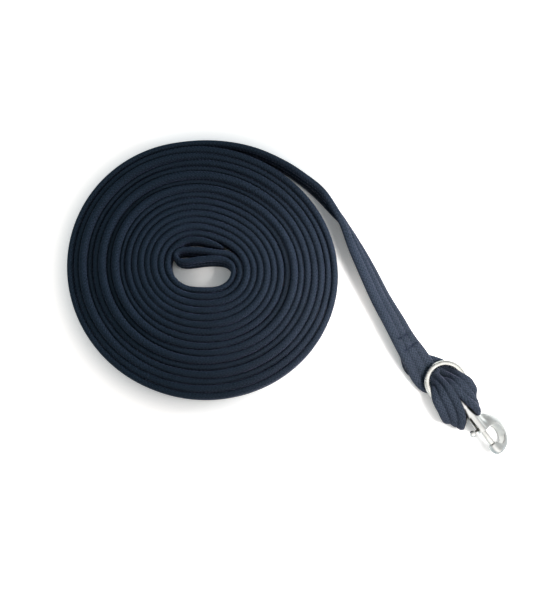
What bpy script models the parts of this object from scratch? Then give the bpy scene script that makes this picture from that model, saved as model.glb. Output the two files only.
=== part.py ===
import math

import bmesh
import bpy
import numpy as np
from mathutils import Matrix, Vector

# Driving sizes, in millimetres; the model itself is in metres
MM = 0.001

# The padded web and the way it is rolled
WEB_WIDTH = 25.0
WEB_THICK = 4.8
WEB_EDGE = 1.2
RIB_GROOVE = 0.8
GROOVE_AT = 4.2
RIB_CREST = 8.4
COIL_CENTRE = (-72.22, 22.48)
COIL_TURNS = 14.86
FIRST_ANGLE = -8.0
POINTS_PER_TURN = 24
FIRST_RADIUS = (28.41, -1.06, -2.27, 4.03, 2.06, 0.61, 0.0)
PITCH = (5.755, 0.092, 0.192, -0.089, 0.012)
SHORT_END_ANGLE = 312.0
LAYER_SLACK = 0.1
HAND_LOOP = [
    (26.2, -0.6), (24.8, 3.0), (21.8, 5.7), (17.5, 7.1), (12.0, 7.7), (5.5, 7.7), (-2.0, 7.1), (-9.0, 6.6),
    (-14.5, 6.4), (-18.7, 7.3), (-21.6, 9.9), (-22.1, 13.3), (-19.9, 16.5), (-16.0, 17.9), (-10.0, 17.8),
    (-3.0, 17.1), (4.0, 15.8), (11.0, 14.3), (17.3, 13.4), (23.4, 11.7), (28.6, 8.0), (31.4, 2.6),
]
NODE_GAP = 0.3

# Sewn tacks, placed by an angle on the roll and by how far back from the web's sewn end they are
TACK_LONG = 17.0
TACK_WIDE = 2.0
TACK_PROUD = 0.35
TACK_BITE = 0.6
HAND_TACK_ANGLE = 155.0
SNAP_TACKS = {"snap_loop_tack_front": 16.0, "snap_loop_tack_rear": 6.0}

# The swivel snap, placed by its eye centre, its axis on the table and its roll
EYE_CENTRE = (134.58, -73.02, 15.0)
AXIS_DIR = (0.592, -0.806)
HOOK_ROLL = 35.5
EYE_RADIUS = 16.0
EYE_WIRE = 4.5
SHANK_R = 2.3
HEAD_R = 3.0
COLLAR_R = 5.0
COLLAR_FROM = 19.2
COLLAR_TO = 27.4
BARREL_R = 4.1
BARREL_TO = 52.5
BORE_R = 2.85
BORE_FROM = 28.4
BOLT_R = 2.5
BOLT_FROM = 43.5
BOLT_TO = 65.9
BOLT_TRAVEL = 10.0
KNOB_AT = 48.2
KNOB_OUT = 11.4
KNOB_R = 3.0
STEM_R = 1.1
SPRING_WIRE = 0.5
SPRING_TURNS = 6
HOOK_THICK = 7.8
HOOK_ROUND = 2.6
TIP_FROM = 65.4
SEAT_DEEP = 0.9
RUN = 0.3

for item in list(bpy.data.objects):
    bpy.data.objects.remove(item, do_unlink=True)

scene = bpy.context.scene
scene.unit_settings.system = "METRIC"
parts = bpy.data.collections.new("lead_rope")
helpers = bpy.data.collections.new("cutters_and_profiles")
scene.collection.children.link(parts)
scene.collection.children.link(helpers)


def material(name, colour, metallic, roughness):
    made = bpy.data.materials.new(name)
    made.use_nodes = True
    shader = made.node_tree.nodes["Principled BSDF"]
    shader.inputs["Base Color"].default_value = (*colour, 1.0)
    shader.inputs["Metallic"].default_value = metallic
    shader.inputs["Roughness"].default_value = roughness
    return made


def own(obj, surface):
    parts.objects.link(obj)
    obj.data.materials.append(surface)
    return obj


def help_only(obj):
    helpers.objects.link(obj)
    obj.hide_render = True
    obj.display_type = "WIRE"
    return obj


def evaluated_mesh(obj):
    bpy.context.view_layer.update()
    graph = bpy.context.evaluated_depsgraph_get()
    return bpy.data.meshes.new_from_object(obj.evaluated_get(graph))


def welded(mesh):
    work = bmesh.new()
    work.from_mesh(mesh)
    bmesh.ops.remove_doubles(work, verts=work.verts, dist=1e-6)
    bmesh.ops.recalc_face_normals(work, faces=work.faces)
    work.to_mesh(mesh)
    work.free()
    return mesh


def smooth(obj, angle=40.0):
    obj.data.shade_smooth()
    obj.data.set_sharp_from_angle(angle=math.radians(angle))
    return obj


def solid(name, mesh, place, surface):
    obj = own(bpy.data.objects.new(name, mesh), surface)
    obj.matrix_world = place
    return obj


def cutter(name, mesh, place):
    obj = help_only(bpy.data.objects.new(name, mesh))
    obj.matrix_world = place
    return obj


def combine(obj, other, operation):
    step = obj.modifiers.new(other.name, "BOOLEAN")
    step.operation = operation
    step.solver = "EXACT"
    step.object = other


def box(name, low, high):
    mesh = bpy.data.meshes.new(name)
    work = bmesh.new()
    bmesh.ops.create_cube(work, size=1.0)
    work.to_mesh(mesh)
    work.free()
    low, high = np.array(low) * MM, np.array(high) * MM
    mesh.transform(Matrix.Translation((low + high) / 2) @ Matrix.Diagonal((*(high - low), 1.0)))
    return mesh


# Flat web section: a plain one for the packed turns, a ribbed one for the free web
def section(name, outline):
    data = bpy.data.curves.new(name, "CURVE")
    data.dimensions = "2D"
    spline = data.splines.new("POLY")
    spline.points.add(len(outline) - 1)
    for point, (across, through) in zip(spline.points, outline):
        point.co = (across * MM, through * MM, 0.0, 1.0)
    spline.use_cyclic_u = True
    return help_only(bpy.data.objects.new(name, data))


half_w = WEB_WIDTH / 2
half_t = WEB_THICK / 2
plain_side = [(half_w, half_t - WEB_EDGE), (half_w - WEB_EDGE, half_t)]
plain_outline = plain_side + [(-x, y) for x, y in plain_side[::-1]]
plain_outline += [(-x, -y) for x, y in plain_outline]
ribbed_side = [
    (half_w, 0.0),
    (RIB_CREST + 1.6, half_t),
    (GROOVE_AT, half_t - RIB_GROOVE),
    (0.0, half_t),
    (-GROOVE_AT, half_t - RIB_GROOVE),
    (-RIB_CREST - 1.6, half_t),
]
ribbed_outline = ribbed_side + [(-x, -y) for x, y in ribbed_side]
plain_section = section("plain_web_section", plain_outline)
ribbed_section = section("ribbed_web_section", ribbed_outline)


def unit(rows):
    return rows / np.linalg.norm(rows, axis=-1, keepdims=True)


def tangents(points):
    steps = unit(np.diff(points, axis=0))
    ends = np.vstack([steps[:1], steps])
    starts = np.vstack([steps, steps[-1:]])
    return unit(ends + starts)


def through(keys, step):
    """Even steps along a smooth curve through rows of x, y, z, width direction and size."""
    keys = np.asarray(keys, float)
    knots = np.concatenate([[0.0], np.cumsum(np.linalg.norm(np.diff(keys[:, :3], axis=0), axis=1))])
    slope = np.gradient(keys, knots, axis=0)
    fine = np.linspace(0.0, knots[-1], 1500)
    cell = np.clip(np.searchsorted(knots, fine, side="right") - 1, 0, len(knots) - 2)
    width = (knots[cell + 1] - knots[cell])[:, None]
    t = ((fine - knots[cell]) / width[:, 0])[:, None]
    rows = (
        (2 * t**3 - 3 * t**2 + 1) * keys[cell]
        + (t**3 - 2 * t**2 + t) * width * slope[cell]
        + (3 * t**2 - 2 * t**3) * keys[cell + 1]
        + (t**3 - t**2) * width * slope[cell + 1]
    )
    run = np.concatenate([[0.0], np.cumsum(np.linalg.norm(np.diff(rows[:, :3], axis=0), axis=1))])
    count = max(3, round(run[-1] / step) + 1)
    even = np.linspace(0.0, run[-1], count)
    rows = np.column_stack([np.interp(even, run, column) for column in rows.T])
    return rows[:, :3], rows[:, 3:6], rows[:, 6]


def web(name, points, widths, sizes, profile, surface):
    """A flat web swept along points, its width turned to the given directions by the tilt of each point."""
    data = bpy.data.curves.new(name, "CURVE")
    data.dimensions = "3D"
    data.twist_mode = "MINIMUM"
    data.bevel_mode = "OBJECT"
    data.bevel_object = profile
    spline = data.splines.new("POLY")
    spline.points.add(len(points) - 1)
    for point, place, size in zip(spline.points, points, sizes):
        point.co = (*(place * MM), 1.0)
        point.radius = size
    guide = help_only(bpy.data.objects.new(name + "_route", data))
    along = tangents(points)
    wanted = unit(widths - along * np.sum(widths * along, axis=1, keepdims=True))
    corners = len(profile.data.splines[0].points)
    for _ in range(3):
        mesh = evaluated_mesh(guide)
        flat = np.empty(len(mesh.vertices) * 3, np.float32)
        mesh.vertices.foreach_get("co", flat)
        bpy.data.meshes.remove(mesh)
        rings = flat.reshape(-1, 3)[: len(points) * corners].reshape(len(points), corners, 3) / MM
        now = unit(rings[:, 0] + rings[:, -1 if profile is plain_section else 0] - 2 * rings.mean(axis=1))
        turn = np.arctan2(np.sum(np.cross(now, wanted) * along, axis=1), np.sum(now * wanted, axis=1))
        if np.abs(turn).max() < 0.02:
            break
        for point, angle in zip(spline.points, turn):
            point.tilt += angle
    print(f"{name}: {len(points)} points, section off by {math.degrees(np.abs(turn).max()):.2f} degrees")
    data.use_fill_caps = True
    made = own(bpy.data.objects.new(name, welded(evaluated_mesh(guide))), surface)
    bpy.data.objects.remove(guide)
    return made


navy_web = material("navy padded web", (0.012, 0.014, 0.028), 0.0, 0.85)
tail_web = material("navy web tail", (0.012, 0.014, 0.028), 0.0, 0.85)
loop_web = material("navy web loop", (0.012, 0.014, 0.028), 0.0, 0.85)


# Rolled web: the sewn hand loop at the middle, then the turns, as one unbroken tube
def polar_shape(terms, angle):
    """A level and then pairs of cosine and sine terms, once, twice and three times round."""
    total = terms[0]
    for order, (cosine, sine) in enumerate(zip(terms[1::2], terms[2::2]), 1):
        total += cosine * math.cos(order * angle) + sine * math.sin(order * angle)
    return total


def turn_point(angle, offset=0.0):
    """A point of the roll, with the angle running clockwise from +X as the web goes outwards."""
    radius = polar_shape(FIRST_RADIUS, angle) + polar_shape(PITCH, angle) * angle / (2 * math.pi) + offset
    return np.array([COIL_CENTRE[0] + radius * math.cos(angle), COIL_CENTRE[1] - radius * math.sin(angle)])


step_angle = 2 * math.pi / POINTS_PER_TURN
first = math.radians(FIRST_ANGLE)
last = COIL_TURNS * 2 * math.pi
turn_count = round((last - first) / step_angle)
layer = polar_shape(PITCH, 0.0) + LAYER_SLACK
short_angles = np.arange(math.radians(SHORT_END_ANGLE), step_angle / 2, -step_angle)
short_leg = [turn_point(angle, -layer) for angle in short_angles]
middle = [np.array(place) + COIL_CENTRE for place in HAND_LOOP]
turns = [turn_point(first + i * step_angle) for i in range(1, turn_count + 1)]
roll = np.array(short_leg + middle + turns)
roll = np.column_stack([roll, np.full(len(roll), half_w)])
upright = np.tile([0.0, 0.0, 1.0], (len(roll), 1))


def least_gap(points, thick, apart):
    """Least space between stretches of one tube that are further apart along it than apart."""
    fine = np.vstack([a + (b - a) * t for a, b in zip(points, points[1:]) for t in np.arange(0, 1, 0.2)[:, None]])
    run = np.concatenate([[0.0], np.cumsum(np.linalg.norm(np.diff(fine, axis=0), axis=1))])
    least = np.inf
    for place, here in zip(fine, run):
        far = np.abs(run - here) > apart
        least = min(least, np.linalg.norm(fine[far] - place, axis=1).min())
    return least - thick


print(f"web_coil least gap to itself {least_gap(roll, WEB_THICK, 2 * WEB_THICK):.2f} mm")
roll_length = np.linalg.norm(np.diff(roll, axis=0), axis=1).sum()
coil = web("web_coil", roll, upright, np.ones(len(roll)), plain_section, navy_web)


# Place of the snap: u runs from the eye towards the hook, v to the right of it, both level
axis_u = Vector((*AXIS_DIR, 0.0)).normalized()
axis_v = Vector((-axis_u.y, axis_u.x, 0.0))
up = Vector((0.0, 0.0, 1.0))
roll_angle = math.radians(HOOK_ROLL)
side = axis_v * math.cos(roll_angle) - up * math.sin(roll_angle)
face = axis_v * math.sin(roll_angle) + up * math.cos(roll_angle)


def frame(first_axis, second_axis, third_axis):
    place = Matrix((first_axis, second_axis, third_axis)).transposed().to_4x4()
    place.translation = Vector(EYE_CENTRE) * MM
    return place


eye_frame = frame(axis_u, axis_v, up)
snap_frame = frame(axis_u, side, face)
level = np.array([axis_u, axis_v, up])


def from_snap(rows):
    """Rows of u, v, z, width direction and size beside the snap, in the object's own axes."""
    rows = np.asarray(rows, float)
    places = rows[:, :3] @ level + np.array([EYE_CENTRE[0], EYE_CENTRE[1], 0.0])
    return np.column_stack([places, rows[:, 3:6] @ level, rows[:, 6]])


# Free web: it leaves the roll on edge and turns over until its outer face looks up
TAIL_ROUTE = [
    (13.28, 104.08, 0.3, -3.0),
    (29.48, 89.88, 0.3, 2.0),
    (41.08, 74.48, 0.3, 13.0),
    (48.48, 63.88, 0.3, 20.0),
    (60.38, 42.78, 0.3, 32.0),
    (70.78, 21.88, 0.4, 39.0),
    (80.38, 1.28, 0.6, 44.0),
    (91.08, -19.22, 2.1, 50.0),
    (101.18, -39.22, 2.1, 57.0),
]


def leaning(places, leans):
    """Width directions of a web that leans to the right of its run by these angles from upright."""
    along = tangents(places)
    level_along = along * (1.0, 1.0, 0.0)
    left = unit(np.column_stack([-level_along[:, 1], level_along[:, 0], np.zeros(len(places))]))
    leans = np.radians(np.asarray(leans, float))[:, None]
    return np.array([0.0, 0.0, 1.0]) * np.cos(leans) - left * np.sin(leans)


# Hitch at the snap: beside the snap, the web comes up through the eye, folds down past the left of the
# collar, runs under it, folds up on the right and goes back down through the eye, under itself
LOOP_ROUTE = [
    (-36.0, -8.0, 13.8, 0.0, -0.91, 0.41, 1.0),
    (-26.0, -8.4, 10.8, 0.0, -0.97, 0.24, 1.0),
    (-18.5, -7.6, 8.9, 0.0, -1.0, 0.06, 0.95),
    (-11.5, -6.0, 10.0, 0.0, -1.0, -0.1, 0.68),
    (-5.0, -5.4, 15.5, 0.1, -0.96, -0.2, 0.45),
    (2.5, -8.0, 20.8, 0.0, -0.97, -0.1, 0.6),
    (10.0, -11.0, 22.8, -0.25, -0.95, -0.2, 0.85),
    (18.6, -12.8, 20.8, -0.3, -0.9, -0.3, 0.95),
    (24.8, -14.4, 17.6, -0.36, -0.86, -0.34, 0.95),
    (27.6, -15.0, 11.4, -0.42, -0.78, -0.46, 0.86),
    (25.6, -11.2, 5.8, -0.8, -0.5, -0.3, 0.82),
    (24.0, -5.4, 3.0, -0.93, -0.37, 0.0, 0.78),
    (23.6, 0.0, 2.7, -1.0, 0.0, 0.0, 0.76),
    (23.8, 5.4, 3.0, -0.93, 0.37, 0.0, 0.78),
    (24.6, 9.8, 5.6, -0.86, 0.38, -0.3, 0.82),
    (24.6, 12.0, 11.4, -0.78, 0.45, -0.42, 0.86),
    (22.6, 11.8, 17.2, -0.6, 0.68, -0.42, 0.9),
    (17.0, 10.8, 20.8, -0.38, 0.84, -0.38, 0.9),
    (10.0, 9.4, 22.2, -0.25, 0.95, -0.2, 0.82),
    (6.0, 7.6, 20.4, 0.0, 0.97, -0.05, 0.55),
    (2.0, 5.6, 15.4, 0.05, 0.97, 0.1, 0.45),
    (-3.5, 4.6, 8.6, 0.0, 0.98, 0.15, 0.62),
    (-10.5, 2.4, 4.4, 0.0, 1.0, 0.05, 0.8),
    (-18.0, -2.0, 3.2, 0.1, 0.99, 0.0, 0.92),
    (-27.0, -7.0, 4.9, 0.0, 0.98, -0.17, 1.0),
    (-37.0, -8.0, 7.8, 0.0, 0.91, -0.41, 1.0),
    (-47.0, -7.8, 8.9, 0.0, 0.84, -0.54, 1.0),
    (-58.0, -7.0, 9.6, 0.0, 0.8, -0.6, 1.0),
]
FREE_STEP = 5.3
BUTT = 2.0

tail_keys = np.array(TAIL_ROUTE) + (0.0, 0.0, half_w, 0.0)
roll_end = roll[-1] + unit(roll[-1] - roll[-2]) * NODE_GAP
loop_keys = from_snap(LOOP_ROUTE)
tail_places = np.vstack([roll_end, tail_keys[:, :3], loop_keys[0, :3]])
tail_widths = leaning(tail_places, [0.0, *tail_keys[:, 3], 0.0])
tail_rows = np.column_stack([tail_places, tail_widths, np.ones(len(tail_places))])[:-1]
free_path = through(np.vstack([tail_rows, loop_keys]), FREE_STEP)
split = int(np.linalg.norm(free_path[0] - loop_keys[0, :3], axis=1).argmin())


def butted(path, place, along):
    """The path with its first point set at place and a short straight run along from there."""
    points, widths, sizes = path
    points = np.vstack([place, place + unit(along) * BUTT, points[1:]])
    return points, np.vstack([widths[:1], widths]), np.concatenate([sizes[:1], sizes])


def backwards(path):
    return [rows[::-1] for rows in path]


joint = free_path[0][split]
joint_along = free_path[0][split + 1] - free_path[0][split - 1]
tail_path = butted([rows[: split + 1] for rows in free_path], roll_end, roll[-1] - roll[-2])
tail_path = backwards(butted(backwards(tail_path), joint, -joint_along))
loop_path = butted([rows[split:] for rows in free_path], joint + unit(joint_along) * NODE_GAP, joint_along)
tail = web("web_tail", *tail_path, ribbed_section, tail_web)
loop = web("snap_loop", *loop_path, ribbed_section, loop_web)
tail_length = np.linalg.norm(np.diff(tail_path[0], axis=0), axis=1).sum()
loop_length = np.linalg.norm(np.diff(loop_path[0], axis=0), axis=1).sum()
print(f"web length: roll {roll_length:.0f}, tail {tail_length:.0f}, loop {loop_length:.0f} mm")


# Sewn tacks: bars of thread through two layers of web, one closing the hand loop and two the snap loop
thread = material("navy sewing thread", (0.014, 0.016, 0.034), 0.0, 0.8)


def tack(name, place, across, inwards, low, high, layers):
    """A bar across the web at place, reaching from low to high along inwards, in a slot of its own shape."""
    across = unit(across)
    inwards = unit(inwards - across * np.dot(inwards, across))
    axes = Matrix((np.cross(across, inwards), across, inwards)).transposed().to_4x4()
    axes.translation = Vector(place) * MM
    bottom = np.array([-TACK_WIDE / 2, -TACK_LONG / 2, low])
    top = np.array([TACK_WIDE / 2, TACK_LONG / 2, high])
    solid(name, box(name, bottom, top), axes, thread)
    slot_cutter = cutter(name + "_slot", box(name + "_slot", bottom - RUN, top + RUN), axes)
    for sewn_web in layers:
        combine(sewn_web, slot_cutter, "DIFFERENCE")


hand_angle = math.radians(HAND_TACK_ANGLE)
short_place = np.array([*turn_point(hand_angle, -layer), half_w])
turn_place = np.array([*turn_point(hand_angle), half_w])
hand_depth = np.linalg.norm(turn_place - short_place) + TACK_BITE
tack("hand_loop_tack", short_place, upright[0], turn_place - short_place, -half_t - TACK_PROUD, hand_depth, [coil])
for name, back in SNAP_TACKS.items():
    end_place = loop_path[0][-1 - round(back / FREE_STEP)]
    nearest = np.linalg.norm(tail_path[0] - end_place, axis=1).argmin()
    over_place = tail_path[0][nearest]
    depth = np.linalg.norm(end_place - over_place) + half_t + TACK_PROUD
    tack(name, over_place, tail_path[1][nearest], end_place - over_place, -half_t - TACK_PROUD, depth, [tail, loop])


# Metal pieces of the snap, each made along X with the eye's centre as origin
def turned(name, profile, steps=28):
    """A solid of revolution about X from rows of place and radius; the first and last lie on the axis."""
    mesh = bpy.data.meshes.new(name)
    points = [(0.0, radius * MM, place * MM) for place, radius in profile]
    mesh.from_pydata(points, [(i, i + 1) for i in range(len(points) - 1)], [])
    obj = bpy.data.objects.new(name, mesh)
    spin = obj.modifiers.new("turn", "SCREW")
    spin.axis = "Z"
    spin.steps = steps
    spin.render_steps = steps
    spin.use_merge_vertices = True
    spin.merge_threshold = 0.00001
    helpers.objects.link(obj)
    solid = evaluated_mesh(obj)
    bpy.data.objects.remove(obj)
    solid.transform(Matrix.Rotation(math.radians(90.0), 4, "Y"))
    welded(solid)
    solid.name = name
    return solid


def plate(name, outline, low, high, rounding=0.0):
    """A flat outline in the hook's plane, made thick from low to high, its rims rounded."""
    data = bpy.data.curves.new(name, "CURVE")
    data.dimensions = "2D"
    data.fill_mode = "BOTH"
    spline = data.splines.new("POLY")
    spline.points.add(len(outline) - 1)
    for point, place in zip(spline.points, outline):
        point.co = (place[0] * MM, place[1] * MM, 0.0, 1.0)
    spline.use_cyclic_u = True
    data.extrude = ((high - low) / 2 - rounding) * MM
    data.bevel_depth = rounding * MM
    data.bevel_resolution = 2
    data.offset = -rounding * MM
    obj = bpy.data.objects.new(name, data)
    helpers.objects.link(obj)
    solid = evaluated_mesh(obj)
    bpy.data.objects.remove(obj)
    solid.transform(Matrix.Translation((0.0, 0.0, (low + high) / 2 * MM)))
    return welded(solid)


def round_loop(points, count):
    """Evenly spaced points on a smooth closed curve through these."""
    ring = np.asarray(points, float)
    before, after = np.roll(ring, 1, axis=0), np.roll(ring, -1, axis=0)
    slope = (after - before) / 2
    t = (np.arange(8) / 8)[:, None]
    rows = [
        (2 * t**3 - 3 * t**2 + 1) * a + (t**3 - 2 * t**2 + t) * m + (3 * t**2 - 2 * t**3) * b + (t**3 - t**2) * n
        for a, b, m, n in zip(ring, after, slope, np.roll(slope, -1, axis=0))
    ]
    rows = np.vstack(rows)
    closed = np.vstack([rows, rows[:1]])
    run = np.concatenate([[0.0], np.cumsum(np.linalg.norm(np.diff(closed, axis=0), axis=1))])
    even = np.linspace(0.0, run[-1], count + 1)[:-1]
    return np.column_stack([np.interp(even, run, column) for column in closed.T])


nickel_eye = material("nickel plated eye", (0.78, 0.77, 0.74), 1.0, 0.18)
nickel_body = material("nickel plated body", (0.78, 0.77, 0.74), 1.0, 0.2)
nickel_bolt = material("nickel plated bolt", (0.78, 0.77, 0.74), 1.0, 0.16)
nickel_knob = material("nickel plated knob", (0.78, 0.77, 0.74), 1.0, 0.16)
spring_steel = material("spring steel", (0.45, 0.45, 0.46), 1.0, 0.3)

# Swivel eye: a round ring on a headed shank that the collar holds and lets turn
bpy.ops.mesh.primitive_torus_add(
    major_radius=EYE_RADIUS * MM, minor_radius=EYE_WIRE / 2 * MM, major_segments=40, minor_segments=12
)
torus = bpy.context.object
ring_mesh = torus.data
bpy.data.objects.remove(torus)
eye = solid("swivel_eye", ring_mesh, eye_frame, nickel_eye)
NECK_TO = 22.6
CHAMBER_TO = 26.6
shank_profile = [
    (EYE_RADIUS, 0.0),
    (EYE_RADIUS, SHANK_R),
    (NECK_TO + 0.35, SHANK_R),
    (NECK_TO + 0.35, HEAD_R),
    (CHAMBER_TO - 0.4, HEAD_R),
    (CHAMBER_TO - 0.4, 0.0),
]
combine(eye, cutter("eye_shank", turned("eye_shank", shank_profile[::-1]), eye_frame), "UNION")

# Snap body: one casting of collar, barrel and hook, bored for the shank, the spring and the bolt
body_profile = [
    (COLLAR_FROM, 0.0),
    (COLLAR_FROM, COLLAR_R - 0.8),
    (COLLAR_FROM + 0.8, COLLAR_R),
    (COLLAR_TO - 1.2, COLLAR_R),
    (COLLAR_TO, BARREL_R),
    (BARREL_TO - 0.5, BARREL_R),
    (BARREL_TO, BARREL_R - 0.5),
    (BARREL_TO, 0.0),
]
HOOK_OUTLINE = [
    (37.5, 2.0), (38.8, 7.2), (41.8, 12.0), (46.4, 16.4), (51.7, 19.6), (58.0, 20.8), (64.6, 19.9),
    (70.2, 16.8), (74.2, 11.2), (75.8, 4.2), (74.8, -1.6), (70.8, -4.0), (65.5, -3.9), (60.0, -2.0),
    (54.0, 0.6), (47.0, 1.6), (41.0, 1.4),
]
HOOK_OPENING = [
    (51.9, 5.0), (52.1, 8.6), (54.0, 12.6), (57.4, 14.9), (61.4, 15.4), (65.4, 14.2), (68.4, 11.2),
    (69.8, 7.4), (69.0, 4.4), (67.2, 3.1),
]
body = solid("snap_body", turned("snap_body", body_profile[::-1]), snap_frame, nickel_body)
half_hook = HOOK_THICK / 2
hook = plate("hook_blank", round_loop(HOOK_OUTLINE, 44), -half_hook, half_hook, HOOK_ROUND)
combine(body, cutter("hook_blank", hook, snap_frame), "UNION")
gate = [(TIP_FROM, 3.0), (TIP_FROM, -8.0), (BARREL_TO, -8.0), (BARREL_TO, 4.6)]
opening = plate("hook_opening", HOOK_OPENING + gate, -half_hook - 2.0, half_hook + 2.0)
combine(body, cutter("hook_opening", opening, snap_frame), "DIFFERENCE")
bore_profile = [
    (BORE_FROM, 0.0),
    (BORE_FROM, BORE_R),
    (TIP_FROM + SEAT_DEEP, BORE_R),
    (TIP_FROM + SEAT_DEEP, 0.0),
]
combine(body, cutter("bolt_bore", turned("bolt_bore", bore_profile[::-1]), snap_frame), "DIFFERENCE")
neck_profile = [
    (COLLAR_FROM - 2.0, 0.0),
    (COLLAR_FROM - 2.0, SHANK_R + RUN),
    (NECK_TO, SHANK_R + RUN),
    (NECK_TO, HEAD_R + RUN),
    (CHAMBER_TO, HEAD_R + RUN),
    (CHAMBER_TO, 0.0),
]
combine(body, cutter("swivel_bore", turned("swivel_bore", neck_profile[::-1]), snap_frame), "DIFFERENCE")
slot = box(
    "knob_slot",
    (KNOB_AT - BOLT_TRAVEL - STEM_R - RUN, -2 * BARREL_R, -STEM_R - RUN),
    (KNOB_AT + STEM_R + RUN, 0.0, STEM_R + RUN),
)
combine(body, cutter("knob_slot", slot, snap_frame), "DIFFERENCE")

# Bolt, its thumb knob and the spring behind it
bolt_profile = [
    (BOLT_FROM, 0.0),
    (BOLT_FROM, BOLT_R - 0.4),
    (BOLT_FROM + 0.4, BOLT_R),
    (BOLT_TO - 0.6, BOLT_R),
    (BOLT_TO, BOLT_R - 0.6),
    (BOLT_TO, 0.0),
]
bolt = solid("bolt", turned("bolt", bolt_profile[::-1]), snap_frame, nickel_bolt)
STEM_FOOT = 1.2
KNOB_CROWN = 2.9
knob_profile = [
    (STEM_FOOT, 0.0),
    (STEM_FOOT, STEM_R),
    (KNOB_OUT - 2.7, STEM_R),
    (KNOB_OUT - 2.2, 2.0),
    (KNOB_OUT - 1.2, 2.7),
    (KNOB_OUT, KNOB_R),
    (KNOB_OUT + 1.2, 2.7),
    (KNOB_OUT + 2.2, 1.9),
    (KNOB_OUT + KNOB_CROWN - 0.1, 0.9),
    (KNOB_OUT + KNOB_CROWN, 0.0),
]
knob_mesh = turned("thumb_knob", knob_profile[::-1], 20)
knob_mesh.transform(Matrix.Translation((KNOB_AT * MM, 0.0, 0.0)) @ Matrix.Rotation(math.radians(-90.0), 4, "Z"))
solid("thumb_knob", knob_mesh, snap_frame, nickel_knob)
hole_profile = [
    (STEM_FOOT - RUN, 0.0),
    (STEM_FOOT - RUN, STEM_R + RUN),
    (BOLT_R + 2.0, STEM_R + RUN),
    (BOLT_R + 2.0, 0.0),
]
hole_mesh = turned("knob_hole", hole_profile[::-1], 20)
hole_mesh.transform(Matrix.Translation((KNOB_AT * MM, 0.0, 0.0)) @ Matrix.Rotation(math.radians(-90.0), 4, "Z"))
combine(bolt, cutter("knob_hole", hole_mesh, snap_frame), "DIFFERENCE")

SPRING_R = BORE_R - RUN - SPRING_WIRE / 2
SPRING_FROM = BORE_FROM + RUN + SPRING_WIRE / 2
SPRING_TO = BOLT_FROM - RUN - SPRING_WIRE / 2
spring_data = bpy.data.curves.new("bolt_spring", "CURVE")
spring_data.dimensions = "3D"
spring_data.bevel_depth = SPRING_WIRE / 2 * MM
spring_data.bevel_resolution = 1
spring_data.use_fill_caps = True
coils = spring_data.splines.new("POLY")
POINTS_PER_CURL = 8
curl_points = POINTS_PER_CURL * SPRING_TURNS + 1
coils.points.add(curl_points - 1)
for i, point in enumerate(coils.points):
    angle = 2 * math.pi * i / POINTS_PER_CURL
    along = SPRING_FROM + (SPRING_TO - SPRING_FROM) * i / (curl_points - 1)
    point.co = (along * MM, SPRING_R * math.cos(angle) * MM, SPRING_R * math.sin(angle) * MM, 1.0)
spring = own(bpy.data.objects.new("bolt_spring", spring_data), spring_steel)
spring.matrix_world = snap_frame

for name in ("swivel_eye", "snap_body", "bolt", "thumb_knob"):
    smooth(bpy.data.objects[name])
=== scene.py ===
import math

import bmesh
import bpy
import numpy as np
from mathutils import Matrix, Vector


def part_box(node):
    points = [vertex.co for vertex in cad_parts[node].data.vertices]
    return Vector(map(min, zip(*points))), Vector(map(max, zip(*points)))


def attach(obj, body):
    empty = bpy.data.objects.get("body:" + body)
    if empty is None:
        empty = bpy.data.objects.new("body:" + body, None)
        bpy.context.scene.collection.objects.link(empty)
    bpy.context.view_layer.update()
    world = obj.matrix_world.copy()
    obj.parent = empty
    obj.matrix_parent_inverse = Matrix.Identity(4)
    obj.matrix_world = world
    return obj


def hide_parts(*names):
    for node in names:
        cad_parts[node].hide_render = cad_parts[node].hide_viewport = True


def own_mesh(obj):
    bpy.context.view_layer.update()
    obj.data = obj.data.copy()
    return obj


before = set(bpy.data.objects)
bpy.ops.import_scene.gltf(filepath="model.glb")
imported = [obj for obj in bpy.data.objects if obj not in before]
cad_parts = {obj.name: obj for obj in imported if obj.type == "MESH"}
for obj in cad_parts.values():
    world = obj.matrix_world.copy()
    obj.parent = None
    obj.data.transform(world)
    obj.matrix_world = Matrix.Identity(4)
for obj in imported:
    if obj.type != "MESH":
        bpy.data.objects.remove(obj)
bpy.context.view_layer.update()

# Padded web: one flat length of close-plaited navy polyester, 25 mm wide, woven over three soft cores that show
# as ribs on both faces. It is rolled on edge from its sewn hand loop outwards, leaves the roll at the upper
# right, turns over on to its flat and is hitched through the eye of the snap, its sewn end under itself.
MM = 0.001
web_half = 12.5
web_crest = 2.85
rib_places = (-8.2, 0.0, 8.2)
rib_reach = 4.25
rib_fullness = 2.4
roll_centre = np.array([-72.22, 22.48])
roll_turns = 14.86
first_angle = math.radians(-8.0)
points_per_turn = 24
first_radius = (28.41, -1.06, -2.27, 4.03, 2.06, 0.61, 0.0)
turn_pitch = (5.755, 0.092, 0.192, -0.089, 0.012)
short_end = math.radians(312.0)
layer_slack = 0.1
leaves_at = 14.74 * 2 * math.pi
leaves_by = 7.0
leaving_lean = 0.2
most_leaving_lean = 0.11
loop_lean = math.radians(5.0)
hand_loop = np.array([
    (26.2, -0.6), (24.8, 3.0), (21.8, 6.0), (17.5, 7.8), (12.0, 8.6), (5.5, 8.7), (-2.0, 8.0), (-9.0, 7.0),
    (-15.0, 6.3), (-19.8, 6.9), (-23.3, 9.4), (-24.0, 12.6), (-21.6, 15.2), (-17.0, 16.4), (-10.0, 16.3),
    (-3.0, 16.0), (4.0, 15.2), (11.0, 14.0), (17.3, 13.3), (23.4, 11.7), (28.6, 8.0), (31.4, 2.6),
])
eye_centre = np.array([134.58, -73.02, 15.0])
axis_u = np.array([0.592, -0.806, 0.0])
axis_u /= np.linalg.norm(axis_u)
axis_v = np.array([-axis_u[1], axis_u[0], 0.0])
upwards = np.array([0.0, 0.0, 1.0])


def unit(rows):
    return rows / np.linalg.norm(rows, axis=-1, keepdims=True)


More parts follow.
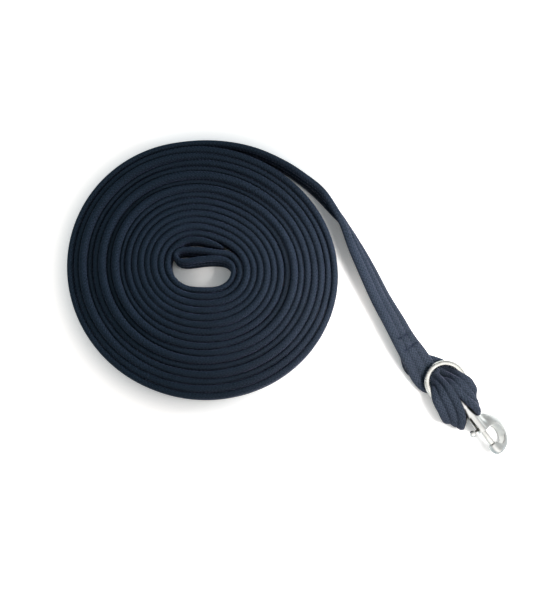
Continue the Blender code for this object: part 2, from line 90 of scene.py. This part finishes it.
def tangents(points):
    steps = unit(np.diff(points, axis=0))
    return unit(np.vstack([steps[:1], steps]) + np.vstack([steps, steps[-1:]]))


def run_of(points):
    return np.concatenate([[0.0], np.cumsum(np.linalg.norm(np.diff(points, axis=0), axis=1))])


def through(keys, step, fine=8):
    """Even steps along a smooth curve through rows whose first three values are a place."""
    knots = run_of(keys[:, :3])
    slope = np.gradient(keys, knots, axis=0)
    t = (np.arange(fine) / fine)[:, None]
    rows = []
    for i, width in enumerate(np.diff(knots)):
        rows.append(
            (2 * t**3 - 3 * t**2 + 1) * keys[i]
            + (t**3 - 2 * t**2 + t) * width * slope[i]
            + (3 * t**2 - 2 * t**3) * keys[i + 1]
            + (t**3 - t**2) * width * slope[i + 1]
        )
    rows = np.vstack(rows + [keys[-1:]])
    run = run_of(rows[:, :3])
    even = np.linspace(0.0, run[-1], round(run[-1] / step) + 1)
    return np.column_stack([np.interp(even, run, column) for column in rows.T])


def polar_shape(terms, angle):
    total = terms[0]
    for order, (cosine, sine) in enumerate(zip(terms[1::2], terms[2::2]), 1):
        total += cosine * math.cos(order * angle) + sine * math.sin(order * angle)
    return total


def turn_place(angle, offset=0.0):
    turns_out = angle / (2 * math.pi)
    radius = polar_shape(first_radius, angle) + polar_shape(turn_pitch, angle) * turns_out + offset
    return roll_centre + radius * np.array([math.cos(angle), -math.sin(angle)])


# The turns don't lie level: by turn number, how far each stands off the table. A turn that stands proud of its
# neighbours also swells at its free upper edge, and the sewn end at the middle is pressed thin.
turn_rise = np.array([
    (-0.1, 0.6), (0.55, 0.9), (0.68, 0.3), (0.9, 0.8), (1.04, 1.5), (1.25, 0.9), (1.58, 1.5), (1.8, 0.9),
    (4.0, 1.2), (4.12, 1.8), (4.3, 0.9), (6.3, 0.8), (6.5, 0.1), (6.7, 0.7), (6.96, 0.2), (7.1, 0.1),
    (7.3, 1.2), (7.42, 2.2), (7.58, 2.3), (7.75, 1.6), (8.0, 1.7), (8.15, 1.5), (8.3, 0.4), (8.45, 0.0),
    (8.65, 0.0), (8.9, 0.5), (9.15, 1.0), (9.3, 1.7), (9.4, 2.4), (9.8, 2.3), (9.97, 1.2), (10.17, 0.1),
    (10.45, 0.8), (10.65, 0.8), (10.83, 0.1), (11.0, 1.2), (11.2, 1.9), (11.35, 0.7), (11.5, 0.0),
    (11.67, 0.2), (11.85, 1.7), (12.0, 1.0), (12.15, 0.2), (12.3, 1.2), (12.45, 2.3), (12.65, 2.3),
    (12.8, 0.8), (12.92, 0.1), (13.05, 0.5), (13.2, 1.7), (13.4, 0.8), (13.58, 0.2), (13.78, 1.6),
    (13.98, 0.4), (14.2, 0.9), (14.86, 0.3),
])
usual_rise = 1.4
swell_per_rise = 0.08
rise_scale = 1.7
pressed_end = (0.3, 0.75)
step_angle = 2 * math.pi / points_per_turn
turn_count = round((roll_turns * 2 * math.pi - first_angle) / step_angle)
turn_angles = first_angle + np.arange(1, turn_count + 1) * step_angle
layer = polar_shape(turn_pitch, 0.0) + layer_slack
short_leg = [turn_place(angle, -layer) for angle in np.arange(short_end, step_angle / 2, -step_angle)]
turns = [turn_place(angle, leaves_by * max(0.0, angle - leaves_at)) for angle in turn_angles]
roll = np.vstack([short_leg, hand_loop + roll_centre, turns])
rises = rise_scale * np.interp(turn_angles / (2 * math.pi), turn_rise[:, 0], turn_rise[:, 1])
rises = np.concatenate([np.full(len(roll) - len(turns), turn_rise[0, 1]), rises])
swells = 1.0 + swell_per_rise * (rises - usual_rise)
swells[:2] = pressed_end
roll_across = np.tile(upwards, (len(roll), 1))
in_loop = slice(len(short_leg) + 1, len(short_leg) + len(hand_loop) - 2)
roll_across[in_loop] = (0.0, math.sin(loop_lean), math.cos(loop_lean))
outwards = np.column_stack([np.cos(turn_angles), -np.sin(turn_angles), np.zeros(len(turns))])
lean_out = np.clip(leaving_lean * (turn_angles - leaves_at), 0.0, most_leaving_lean)
roll_across[-len(turns) :] += outwards * lean_out[:, None]
roll_rows = np.column_stack([roll, web_half + rises, roll_across, np.ones(len(roll)), swells])

# Free web, as place, height over its resting height and lean from upright in degrees
tail_route = np.array([
    (13.28, 104.08, 0.3, -6.0), (30.1, 90.4, 0.3, -8.0), (42.2, 75.2, 0.3, 2.0), (49.6, 64.6, 0.3, 12.0),
    (60.6, 42.9, 0.3, 30.0), (70.78, 21.88, 0.4, 39.0), (80.38, 1.28, 0.6, 44.0), (91.08, -19.22, 2.1, 50.0),
    (101.18, -39.22, 2.1, 57.0),
])

# Hitch, beside the snap: place along it, across it and up, then the way the web's width points, and its size.
# The web comes up through the eye, folds down past the left of the collar, runs under it, folds up on the right
# and goes back down through the eye, under itself. Where it is gathered in the eye it is narrower and thicker.
hitch_route = np.array([
    (-36.0, -8.0, 13.8, 0.0, -0.91, 0.41, 1.0),
    (-26.0, -8.6, 10.6, 0.0, -0.97, 0.22, 1.0),
    (-18.5, -9.2, 8.8, 0.0, -1.0, 0.0, 1.0),
    (-12.5, -9.4, 8.4, 0.0, -1.0, -0.1, 0.99),
    (-7.0, -9.0, 10.0, 0.0, -0.98, -0.2, 0.92),
    (-2.0, -6.8, 14.6, 0.1, -0.97, -0.2, 0.6),
    (3.0, -8.2, 19.8, 0.0, -0.98, -0.15, 0.74),
    (10.0, -10.2, 22.6, -0.1, -0.98, -0.15, 0.86),
    (18.0, -11.3, 21.8, -0.25, -0.95, -0.2, 0.87),
    (26.0, -12.9, 18.6, -0.6, -0.78, -0.1, 0.85),
    (32.6, -14.7, 13.2, -0.9, -0.42, 0.1, 0.74),
    (30.8, -12.4, 7.0, -0.88, -0.46, -0.1, 0.84),
    (26.4, -6.0, 3.6, -0.95, -0.3, 0.0, 0.8),
    (24.6, 0.0, 3.4, -1.0, 0.0, 0.0, 0.78),
    (25.4, 5.6, 3.6, -0.95, 0.3, 0.0, 0.8),
    (28.8, 8.8, 6.6, -0.91, 0.36, -0.2, 0.82),
    (30.0, 9.3, 13.0, -0.9, 0.36, -0.33, 0.82),
    (25.8, 8.9, 18.0, -0.84, 0.45, -0.3, 0.73),
    (18.0, 8.8, 21.2, -0.42, 0.87, -0.25, 0.77),
    (11.0, 8.6, 22.4, -0.2, 0.96, -0.2, 0.78),
    (5.6, 7.8, 20.2, 0.0, 0.98, -0.1, 0.7),
    (1.6, 7.0, 15.0, 0.05, 0.98, 0.1, 0.62),
    (-3.4, 5.4, 8.8, 0.0, 0.98, 0.15, 0.74),
    (-10.5, 2.4, 4.4, 0.0, 1.0, 0.05, 0.88),
    (-18.0, -4.0, 3.4, 0.1, 0.99, 0.0, 0.95),
    (-27.0, -10.0, 5.2, 0.0, 0.98, -0.17, 0.96),
    (-37.0, -7.9, 7.8, 0.0, 0.91, -0.41, 0.94),
    (-47.0, -6.6, 8.9, 0.0, 0.84, -0.54, 0.94),
    (-58.0, -5.2, 9.6, 0.0, 0.8, -0.6, 0.92),
])
gather_swell = 1.1
fold_flattening = 14.0
sharpest_ribbed = 0.065
tail_cup = 1.8
cupped_stretch = (0.0, 45.0, 150.0, 195.0)
beside_snap = np.array([axis_u, axis_v, upwards])
hitch_rows = np.column_stack([
    hitch_route[:, :3] @ beside_snap + eye_centre * (1.0, 1.0, 0.0),
    hitch_route[:, 3:6] @ beside_snap,
    hitch_route[:, 6],
    1.0 + gather_swell * (1.0 - hitch_route[:, 6]),
])
tail_places = np.vstack([roll_rows[-1, :3], tail_route[:, :3] + (0.0, 0.0, web_half), hitch_rows[0, :3]])
level_along = tangents(tail_places) * (1.0, 1.0, 0.0)
to_left = unit(np.column_stack([-level_along[:, 1], level_along[:, 0], np.zeros(len(tail_places))]))
leans = np.radians(np.concatenate([[0.0], tail_route[:, 3], [0.0]]))[:, None]
tail_widths = upwards * np.cos(leans) - to_left * np.sin(leans)
tail_rows = np.column_stack([tail_places, tail_widths, np.ones((len(tail_places), 2))])[1:-1]

roll_length = run_of(roll_rows[:, :3])[-1]
fine_step = 1.6
fine_before_leaving = 40.0
web_rows = through(np.vstack([roll_rows, tail_rows, hitch_rows]), fine_step)
free_web = run_of(web_rows[:, :3]) > roll_length - fine_before_leaving
web_rows = web_rows[free_web | (np.arange(len(web_rows)) % 2 == 0)]
web_path, web_across = web_rows[:, :3], web_rows[:, 3:6]
web_sizes, web_swells = web_rows[:, 6], web_rows[:, 7]
web_run = run_of(web_path)
web_along = tangents(web_path)
web_across = unit(web_across - web_along * np.sum(web_across * web_along, axis=1, keepdims=True))
web_out = np.cross(web_across, web_along)
before_hitch = web_run[-1] - web_run - run_of(hitch_rows[:, :3])[-1]
web_cup = tail_cup * np.interp(before_hitch, cupped_stretch, (0.0, 1.0, 1.0, 0.0))


def web_height(across, places=rib_places, reach=rib_reach, power=rib_fullness):
    """Half the web's thickness at a place across it: three full ribs with a groove between them."""
    ribs = [np.clip(1 - np.abs((across - place) / reach) ** power, 0, 1) ** (1 / power) for place in places]
    return web_crest * np.max(ribs, axis=0)


def both_faces(face):
    return np.concatenate([face, -face[-2:0:-1]])


# The ribs flatten where the web is folded hard, and the free web is a little hollow underneath
grooves = (-4.1, 4.1)
folded_thickness = 0.85
across = np.sort(np.append(web_half * np.cos(np.linspace(0.0, math.pi, 25)), grooves))[::-1]
section_across = np.concatenate([across, across[-2:0:-1]])
section_ribbed = both_faces(web_height(across))
section_folded = folded_thickness * both_faces(web_height(across, (0.0,), web_half, rib_fullness))
bend = np.linalg.norm(np.gradient(web_along, web_run, axis=0), axis=1)
folded = np.clip(fold_flattening * (bend - sharpest_ribbed), 0.0, 1.0)
folded = np.convolve(folded, np.ones(7) / 7, "same")[:, None]
web_section = (section_ribbed * (1 - folded) + section_folded * folded) * web_swells[:, None]
web_section -= np.outer(web_cup, (section_across / web_half) ** 2)


def skin(name, shells):
    """One mesh of tubes skinned over rings of points in millimetres. A shell is its rings and whether it closes
    on itself along its length. The UV map holds the lengths along and round it in metres."""
    mesh = bpy.data.meshes.new(name)
    work = bmesh.new()
    sheet = work.loops.layers.uv.new("run")
    for rings, closed in shells:
        count, around = rings.shape[:2]
        along = run_of(np.vstack([rings.mean(axis=1), rings[:1].mean(axis=1)])) * MM
        widest = rings[np.argmax(np.ptp(rings, axis=1).sum(axis=1))]
        across = run_of(np.vstack([widest, widest[:1]])) * MM
        rows = [[work.verts.new(point * MM) for point in ring] for ring in rings]
        for i in range(count if closed else count - 1):
            for j in range(around):
                near, far, k = rows[i], rows[(i + 1) % count], (j + 1) % around
                face = work.faces.new([near[j], near[k], far[k], far[j]])
                face.smooth = True
                for loop, (step, turn) in zip(face.loops, [(i, j), (i, j + 1), (i + 1, j + 1), (i + 1, j)]):
                    loop[sheet].uv = (along[step], across[turn])
        if not closed:
            work.faces.new(rows[0][::-1])
            work.faces.new(rows[-1])
    bmesh.ops.recalc_face_normals(work, faces=work.faces)
    work.to_mesh(mesh)
    work.free()
    piece = bpy.data.objects.new(name, mesh)
    bpy.context.scene.collection.objects.link(piece)
    return piece


web_rings = (
    web_path[:, None]
    + web_across[:, None] * section_across[None, :, None] * web_sizes[:, None, None]
    + web_out[:, None] * web_section[:, :, None]
)
# The soft fold lies clear of the path on which the thumb knob is drawn back
knob_drawn = (38.2, -9.3, 21.6)
bolt_travel = 10.0
knob_room = 4.1
beside_knob = (web_rings - eye_centre * (1.0, 1.0, 0.0)) @ beside_snap.T - knob_drawn
beside_knob[..., 0] -= np.clip(beside_knob[..., 0], 0.0, bolt_travel)
apart = np.linalg.norm(beside_knob, axis=-1, keepdims=True)
web_rings += beside_knob / apart * np.clip(knob_room - apart, 0.0, None) @ beside_snap
padded_web = skin("padded_web", [(web_rings, False)])

# Polyester plait: matt dark navy yarn with a faint lavender bloom where light grazes the fibre ends. Its
# slanting strands are about 3 mm from one to the next, with a painted highlight on top of each and painted
# shade between them, and painted shade darkens the yarn's colour in the grooves of the web and between the
# turns.
plait_pitch = 3.0
plait_depth = 0.8
plait_wander = 5.0
strand_edge = 1.6
strand_tone = 0.62
base_tone = -0.12
fibre_size = 0.9
fibre_tone = 0.45
worn_size = 18.0
worn_tone = 0.25
painted_shade_reach = 7.0
painted_shade_power = 0.5


def linear(text):
    parts = [int(text[i : i + 2], 16) / 255 for i in (1, 3, 5)]
    return (*[c / 12.92 if c <= 0.04045 else ((c + 0.055) / 1.055) ** 2.4 for c in parts], 1.0)


def node(tree, kind, links=(), **settings):
    """A node with its settings; links give an input's name or number and the socket or value it takes."""
    made = tree.nodes.new(kind)
    for key, value in settings.items():
        setattr(made, key, value)
    for key, value in dict(links).items():
        if isinstance(value, bpy.types.NodeSocket):
            tree.links.new(value, made.inputs[key])
        else:
            made.inputs[key].default_value = value
    return made


def math_node(tree, operation, first, second=0.0):
    return node(tree, "ShaderNodeMath", {0: first, 1: second}, operation=operation).outputs[0]


def noise(tree, size_mm, detail=3.0):
    place = node(tree, "ShaderNodeTexCoord").outputs["Object"]
    sockets = {"Vector": place, "Scale": 1 / (size_mm * MM), "Detail": detail}
    return node(tree, "ShaderNodeTexNoise", sockets).outputs[0]


def ramp(tree, value, *stops):
    """Colours by value: each stop is a position and a hex colour."""
    made = node(tree, "ShaderNodeValToRGB", {0: value})
    for stop, (position, colour) in zip(made.color_ramp.elements, stops):
        stop.position = position
        stop.color = linear(colour)
    return made.outputs[0]


def new_material(name, **sockets):
    made = bpy.data.materials.new(name)
    made.use_nodes = True
    shader = made.node_tree.nodes["Principled BSDF"]
    for key, value in sockets.items():
        shader.inputs[key.replace("_", " ")].default_value = value
    return made, made.node_tree, shader


polyester, tree, shader = new_material(
    "plaited navy polyester",
    Roughness=0.7,
    Specular_IOR_Level=0.12,
    Sheen_Weight=0.2,
    Sheen_Roughness=0.4,
    Sheen_Tint=linear("#b4b2d8"),
)
run_uv = node(tree, "ShaderNodeSeparateXYZ", {0: node(tree, "ShaderNodeUVMap", uv_map="run").outputs[0]})
along_plait = math_node(tree, "MULTIPLY", run_uv.outputs[0], 1 / (plait_pitch * MM))
along_plait = math_node(tree, "ADD", along_plait, noise(tree, plait_wander, 1.0))
round_plait = math_node(tree, "MULTIPLY", run_uv.outputs[1], 1 / (plait_pitch * MM))
strands, cells = [], []
for operation in ("ADD", "SUBTRACT"):
    slant = math_node(tree, operation, along_plait, round_plait)
    cells.append(math_node(tree, "FLOOR", slant))
    wave = math_node(tree, "SINE", math_node(tree, "MULTIPLY", slant, math.pi))
    wave = math_node(tree, "ABSOLUTE", wave)
    strands.append(math_node(tree, "POWER", wave, strand_edge))
over = math_node(tree, "PINGPONG", math_node(tree, "ADD", *cells), 1.0)
strand = node(tree, "ShaderNodeMix", {0: over, 2: strands[0], 3: strands[1]}).outputs[0]
# Painted highlight and shade: the strand pattern makes each strand's top paler and the gaps between strands
# darker in colour
tone = math_node(tree, "ADD", math_node(tree, "MULTIPLY", strand, strand_tone), base_tone)
tone = math_node(tree, "ADD", tone, math_node(tree, "MULTIPLY", noise(tree, fibre_size, 2.0), fibre_tone))
tone = math_node(tree, "ADD", tone, math_node(tree, "MULTIPLY", noise(tree, worn_size), worn_tone))
# Painted shade: an occlusion test darkens the yarn's colour in the grooves of the web and between the turns of
# the roll
painted_shade_ao = node(tree, "ShaderNodeAmbientOcclusion", {"Distance": painted_shade_reach * MM}, samples=6).outputs["AO"]
shade = math_node(tree, "MULTIPLY", tone, math_node(tree, "POWER", painted_shade_ao, painted_shade_power))
tree.links.new(ramp(tree, shade, (0.15, "#121a1d"), (0.9, "#393d49")), shader.inputs["Base Color"])
bump = node(tree, "ShaderNodeBump", {"Height": tone, "Strength": 0.6, "Distance": plait_depth * MM})
tree.links.new(bump.outputs[0], shader.inputs["Normal"])
padded_web.data.materials.append(polyester)
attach(padded_web, "web")
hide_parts("web_coil", "web_tail", "snap_loop")

# Sewn tacks: navy thread run to and fro across the web in a close zigzag, through both layers, by a bar-tacking
# machine. One closes the hand loop at the middle of the roll and two hold the sewn end under the free web.
thread_radius = 0.24
tack_half = 8.5
tack_reach = 1.0
tack_zigs = 30
sunk = 0.1
ply_pitch = 0.5
short_end_run = 200.0
hitch_run = 150.0
sewn_end_run = 70.0


def tube(points, radius, sides):
    """Rings of a round tube along points."""
    along = tangents(points)
    first = unit(np.cross(along, along + (0.31, 0.47, 0.83)))
    second = np.cross(along, first)
    turns = np.linspace(0.0, 2 * math.pi, sides, endpoint=False)[None, :, None]
    return points[:, None] + radius * (first[:, None] * np.cos(turns) + second[:, None] * np.sin(turns))


def zigzag(middle, stretch, side):
    """Thread points on one side of the web, across it where this stretch comes nearest to middle."""
    near = stretch[np.linalg.norm(web_path[stretch] - middle, axis=1).argmin()]
    across = np.linspace(-tack_half, tack_half, tack_zigs + 1)
    along = tack_reach * np.where(np.arange(len(across)) % 2, 1.0, -1.0)
    out = side * (web_height(across) * web_swells[near] + sunk * thread_radius)
    out -= web_cup[near] * (across / web_half) ** 2
    steps = ((across, web_across), (along, web_along), (out, web_out))
    return web_path[near] + sum(np.outer(amount, way[near]) for amount, way in steps)


thread, tree, shader = new_material("twisted navy sewing thread", Roughness=0.6, Specular_IOR_Level=0.15)
thread_uv = node(tree, "ShaderNodeSeparateXYZ", {0: node(tree, "ShaderNodeUVMap", uv_map="run").outputs[0]})
ply = math_node(tree, "ADD", thread_uv.outputs[0], thread_uv.outputs[1])
ply = math_node(tree, "PINGPONG", math_node(tree, "MULTIPLY", ply, 1 / (ply_pitch * MM)), 1.0)
tree.links.new(ramp(tree, ply, (0.1, "#0d1219"), (0.9, "#282d42")), shader.inputs["Base Color"])
stretches = {
    "first": np.flatnonzero(web_run < short_end_run),
    "tail": np.flatnonzero((web_run > roll_length) & (web_run < web_run[-1] - hitch_run)),
    "end": np.flatnonzero(web_run > web_run[-1] - sewn_end_run),
}
for node_name, faces in {
    "hand_loop_tack": [("first", 1.0), ("first", -1.0)],
    "snap_loop_tack_front": [("tail", 1.0), ("end", 1.0)],
    "snap_loop_tack_rear": [("tail", 1.0), ("end", 1.0)],
}.items():
    middle = np.mean(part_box(node_name), axis=0) / MM
    threads = [zigzag(middle, stretches[stretch], side) for stretch, side in faces]
    stitches = skin(node_name + "_stitches", [(tube(line, thread_radius, 6), False) for line in threads])
    stitches.data.materials.append(thread)
    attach(stitches, "web")
    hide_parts(node_name)

# Swivel eye: a round ring and a short headed shank, cast in one and nickel-plated. The head is peened over
# inside the snap's collar, which lets the snap turn while the web holds the ring still.
eye_radius = 15.8
eye_wire = 2.45
shank_radius = 2.3
head_radius = 3.0
snap_roll = math.radians(35.5)
hook_side = axis_v * math.cos(snap_roll) - upwards * math.sin(snap_roll)
hook_face = np.cross(axis_u, hook_side)


def turned(profile, start, along, sides=48):
    """Rings of a piece turned about an axis, from rows of place along it and radius."""
    first = unit(np.cross(along, along + (0.31, 0.47, 0.83)))
    second = np.cross(along, first)
    turns = np.linspace(0.0, 2 * math.pi, sides, endpoint=False)
    spokes = np.outer(np.cos(turns), first) + np.outer(np.sin(turns), second)
    return np.array([start + along * place + spokes * radius for place, radius in profile])


around = np.linspace(0.0, 2 * math.pi, 96, endpoint=False)
ring_places = eye_centre + eye_radius * (np.outer(np.cos(around), axis_u) + np.outer(np.sin(around), axis_v))
spokes = unit(ring_places - eye_centre)
wire = np.linspace(0.0, 2 * math.pi, 28, endpoint=False)[None, :, None]
ring_rings = ring_places[:, None] + eye_wire * (spokes[:, None] * np.cos(wire) + upwards * np.sin(wire))
shank = [
    (15.2, 0.3), (15.4, 2.9), (17.6, 2.6), (18.6, shank_radius), (22.95, shank_radius), (23.0, head_radius),
    (26.0, head_radius), (26.2, head_radius - 0.3), (26.2, 0.3),
]
swivel_eye = skin("eye_ring", [(ring_rings, True), (turned(shank, eye_centre, axis_u), False)])


def nickel_plate(name, low, high, rough):
    """Plate over a barrel-polished casting: a warm pale grey metal, slightly clouded and finely scuffed."""
    made, tree, shader = new_material(name, Metallic=1.0)
    clouded = noise(tree, 6.0)
    scuffed = noise(tree, 1.6, 3.0)
    tree.links.new(ramp(tree, clouded, (0.3, low), (0.7, high)), shader.inputs["Base Color"])
    tree.links.new(
        node(tree, "ShaderNodeMapRange", {0: scuffed, 1: 0.3, 2: 0.7, 3: rough, 4: rough + 0.1}).outputs[0],
        shader.inputs["Roughness"],
    )
    return made


eye_plate = nickel_plate("nickel plate on the eye", "#c9c7c0", "#dad9d3", 0.2)
swivel_eye.data.materials.append(eye_plate)
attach(swivel_eye, "web")
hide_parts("swivel_eye")

# Snap body: collar, barrel and hook die-cast in one, tumbled until its edges are soft, then nickel-plated. The
# barrel is bored for the bolt and its spring and slotted along one side for the thumb knob.
casting_grain = 0.3
casting_passes = 18
shoulder_out = 2.8
opening_centre = (60.9, 8.9)
opening_half = (9.0, 6.6)
rim_fall = 0.55
rim_edge = 1.05
rim_width = 0.95
rim_curve = 1.4
shoulder_stretch = (36.0, 70.0)
snap_body = bpy.data.objects.new("snap_casting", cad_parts["snap_body"].data.copy())
bpy.context.scene.collection.objects.link(snap_body)
remesh = snap_body.modifiers.new("casting", "REMESH")
remesh.mode = "VOXEL"
remesh.voxel_size = casting_grain * MM
tumble = snap_body.modifiers.new("tumbled edges", "SMOOTH")
tumble.factor = 0.5
tumble.iterations = casting_passes
bpy.context.view_layer.update()
tumbled = bpy.data.meshes.new_from_object(snap_body.evaluated_get(bpy.context.evaluated_depsgraph_get()))
snap_body.modifiers.clear()
snap_body.data = tumbled
points = np.empty(3 * len(tumbled.vertices))
tumbled.vertices.foreach_get("co", points)
points = points.reshape(-1, 3)
from_eye = points / MM - eye_centre
along_snap, to_hook = from_eye @ axis_u, from_eye @ hook_side
# The shoulder is fuller beside the barrel, and the band falls away outwards from the rim of the opening
beside_barrel = 3.0
full = np.clip((to_hook - beside_barrel) / 9.0, 0, 1)
full *= np.clip((along_snap - shoulder_stretch[0]) / 4.0, 0, 1)
full *= np.clip((shoulder_stretch[1] - along_snap) / 18.0, 0, 1)
in_opening = (np.column_stack([along_snap, to_hook]) - opening_centre) / opening_half
from_rim = np.linalg.norm(in_opening, axis=1) - rim_edge
fall = rim_fall * np.clip(from_rim / rim_width, 0, 1) ** rim_curve
fall *= np.clip((to_hook - beside_barrel) / 4.0, 0, 1)
points += np.outer(shoulder_out * MM * full, hook_side)
points -= np.outer(from_eye @ hook_face * fall * MM, hook_face)
tumbled.vertices.foreach_set("co", points.ravel())
snap_body.data.materials.clear()
snap_body.data.shade_smooth()
body_plate = nickel_plate("nickel plate on the casting", "#c6c5c1", "#d6d5d2", 0.28)
snap_body.data.materials.append(body_plate)
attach(snap_body, "snap")
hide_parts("snap_body")

# Bolt and thumb knob: turned steel, nickel-plated. The knob's stem is pressed into the bolt through the
# barrel's slot, so the two slide as one and the knob draws the bolt back against its spring.
bolt_profile = [
    (43.5, 0.2), (43.5, 2.1), (43.9, 2.5), (64.7, 2.5), (65.3, 2.35), (65.7, 1.95), (65.9, 1.3), (65.9, 0.2),
]
knob_at = 48.2
knob_profile = [
    (1.2, 0.1), (1.2, 1.1), (8.6, 1.1), (8.9, 1.5), (9.3, 2.1), (10.0, 2.6), (10.8, 2.9), (11.4, 3.0),
    (12.0, 2.95), (12.7, 2.7), (13.4, 2.2), (13.9, 1.5), (14.2, 0.8), (14.3, 0.1),
]
bright_plate = nickel_plate("bright nickel plate", "#cfcdc8", "#dedcd8", 0.14)
for name, node_name, rings in (
    ("sliding_bolt", "bolt", turned(bolt_profile, eye_centre, axis_u)),
    ("knob", "thumb_knob", turned(knob_profile, eye_centre + axis_u * knob_at, -hook_side)),
):
    piece = skin(name, [(rings, False)])
    piece.data.materials.append(bright_plate)
    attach(piece, "bolt")
    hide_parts(node_name)

# Bolt spring: six open coils of half-millimetre spring wire in the bore behind the bolt.
spring_from, spring_to = 28.95, 42.95
spring_radius = 2.3
spring_coils = 6
spring_wire = 0.25
curl = np.linspace(0.0, 2 * math.pi * spring_coils, 24 * spring_coils + 1)
coil_places = (
    eye_centre
    + np.outer(np.linspace(spring_from, spring_to, len(curl)), axis_u)
    + spring_radius * (np.outer(np.cos(curl), hook_side) + np.outer(np.sin(curl), hook_face))
)
spring = skin("spring", [(tube(coil_places, spring_wire, 8), False)])
wire_steel, tree, shader = new_material("drawn spring wire", Metallic=1.0)
drawn = noise(tree, 0.3, 4.0)
tree.links.new(ramp(tree, drawn, (0.3, "#8e8f92"), (0.7, "#b4b5b8")), shader.inputs["Base Color"])
shader.inputs["Roughness"].default_value = 0.3
spring.data.materials.append(wire_steel)
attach(spring, "snap")
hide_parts("bolt_spring")
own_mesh(spring)

# White table: a smooth matt laminate top. It shows as plain white to the eye and in the metal: for camera rays
# it glows a warm white, and that glow is cut by a painted shadow, darkest close beside the rope and in the hole
# of the roll.
painted_shadow_reach = 25.0
painted_shadow_depth = 1.55
bpy.ops.mesh.primitive_plane_add(size=6.0, location=(0.0, 0.0, -0.2 * MM))
table = bpy.context.object
table.name = "white_table"
laminate, tree, shader = new_material("white laminate", Base_Color=linear("#f3f0ed"), Roughness=0.6)
seen = node(tree, "ShaderNodeLightPath").outputs["Is Camera Ray"]
# Painted shadow: the camera-ray glow is scaled down by an occlusion test near the rope and in the hole of the
# roll
painted_shadow_ao = node(tree, "ShaderNodeAmbientOcclusion", {"Distance": painted_shadow_reach * MM}, samples=8).outputs["AO"]
white = math_node(tree, "MULTIPLY", math_node(tree, "POWER", painted_shadow_ao, painted_shadow_depth), seen)
shader.inputs["Emission Color"].default_value = linear("#fff0e7")
tree.links.new(white, shader.inputs["Emission Strength"])
table.data.materials.append(laminate)

# Light: a pale room, bright to the metal on the window's side, which gives the cloth a dim bluish fill from
# the far side. A soft lamp over the snap lights the free web and the right of the roll, and a low side lamp
# picks out the turns that stand proud on the left.
window_way = (0.3, -0.62, 0.72)
fill_way = (-0.25, 0.8, 0.55)
room = bpy.data.worlds.new("pale room")
bpy.context.scene.world = room
room.use_nodes = True
tree = room.node_tree
seen = node(tree, "ShaderNodeLightPath")
seen = math_node(tree, "MAXIMUM", seen.outputs["Is Camera Ray"], seen.outputs["Is Glossy Ray"])


def room_level(way, *limits):
    """The room's brightness by direction: from, to, and the level at each."""
    place = node(tree, "ShaderNodeTexCoord").outputs["Generated"]
    facing = node(tree, "ShaderNodeVectorMath", {0: place, 1: way}, operation="DOT_PRODUCT").outputs["Value"]
    return node(tree, "ShaderNodeMapRange", {0: facing, **dict(enumerate(limits, 1))}).outputs[0]


ceiling = room_level(window_way, -0.3, 0.95, 0.33, 1.8)
fill = room_level(fill_way, -1.0, 1.0, 0.06, 0.66)
level = node(tree, "ShaderNodeMix", {0: seen, 2: fill, 3: ceiling}).outputs[0]
tints = {0: seen, 6: linear("#94d0e8"), 7: linear("#ffffff")}
sky = node(tree, "ShaderNodeMix", tints, data_type="RGBA")
background = tree.nodes["Background"]
tree.links.new(sky.outputs[2], background.inputs[0])
tree.links.new(level, background.inputs[1])


def soft_lamp(name, place, aim, size, energy, spread, colour="#ffffff"):
    """A square lamp in metres and watts, which the metal doesn't mirror."""
    lamp = bpy.data.lights.new(name, "AREA")
    lamp.shape = "RECTANGLE"
    lamp.size = size
    lamp.size_y = size
    lamp.energy = energy
    lamp.color = linear(colour)[:3]
    lamp.spread = math.radians(spread)
    lamp_place = bpy.data.objects.new(name, lamp)
    bpy.context.scene.collection.objects.link(lamp_place)
    lamp_place.visible_glossy = False
    lamp_place.location = place
    lamp_place.rotation_euler = (Vector(aim) - lamp_place.location).to_track_quat("-Z", "Y").to_euler()


soft_lamp("soft lamp", (0.28, -0.07, 0.36), (0.125, -0.04, 0.0), 0.22, 0.345, 34.0)
soft_lamp("side lamp", (0.31, 0.06, 0.17), (-0.17, 0.02, 0.0), 0.12, 0.085, 34.0, "#d8ecff")

# Camera: held almost a metre above the table, a little below the middle of the rope, so that it looks seven
# degrees off straight down.
view_centre = (-15.02, -1.12)
view_height = 950.0
view_tilt = math.radians(7.0)
lens_pixels = 1096.0
picture_width = 540.0
camera = bpy.data.cameras.new("camera")
camera.sensor_fit = "HORIZONTAL"
camera.sensor_width = 36.0
camera.lens = lens_pixels * camera.sensor_width / picture_width
camera_place = bpy.data.objects.new("camera", camera)
bpy.context.scene.collection.objects.link(camera_place)
back = view_height * math.tan(view_tilt)
camera_place.location = Vector((view_centre[0], view_centre[1] - back, view_height)) * MM
camera_place.rotation_euler = (view_tilt, 0.0, 0.0)
bpy.context.scene.camera = camera_place
bpy.context.scene.view_settings.view_transform = "Standard"
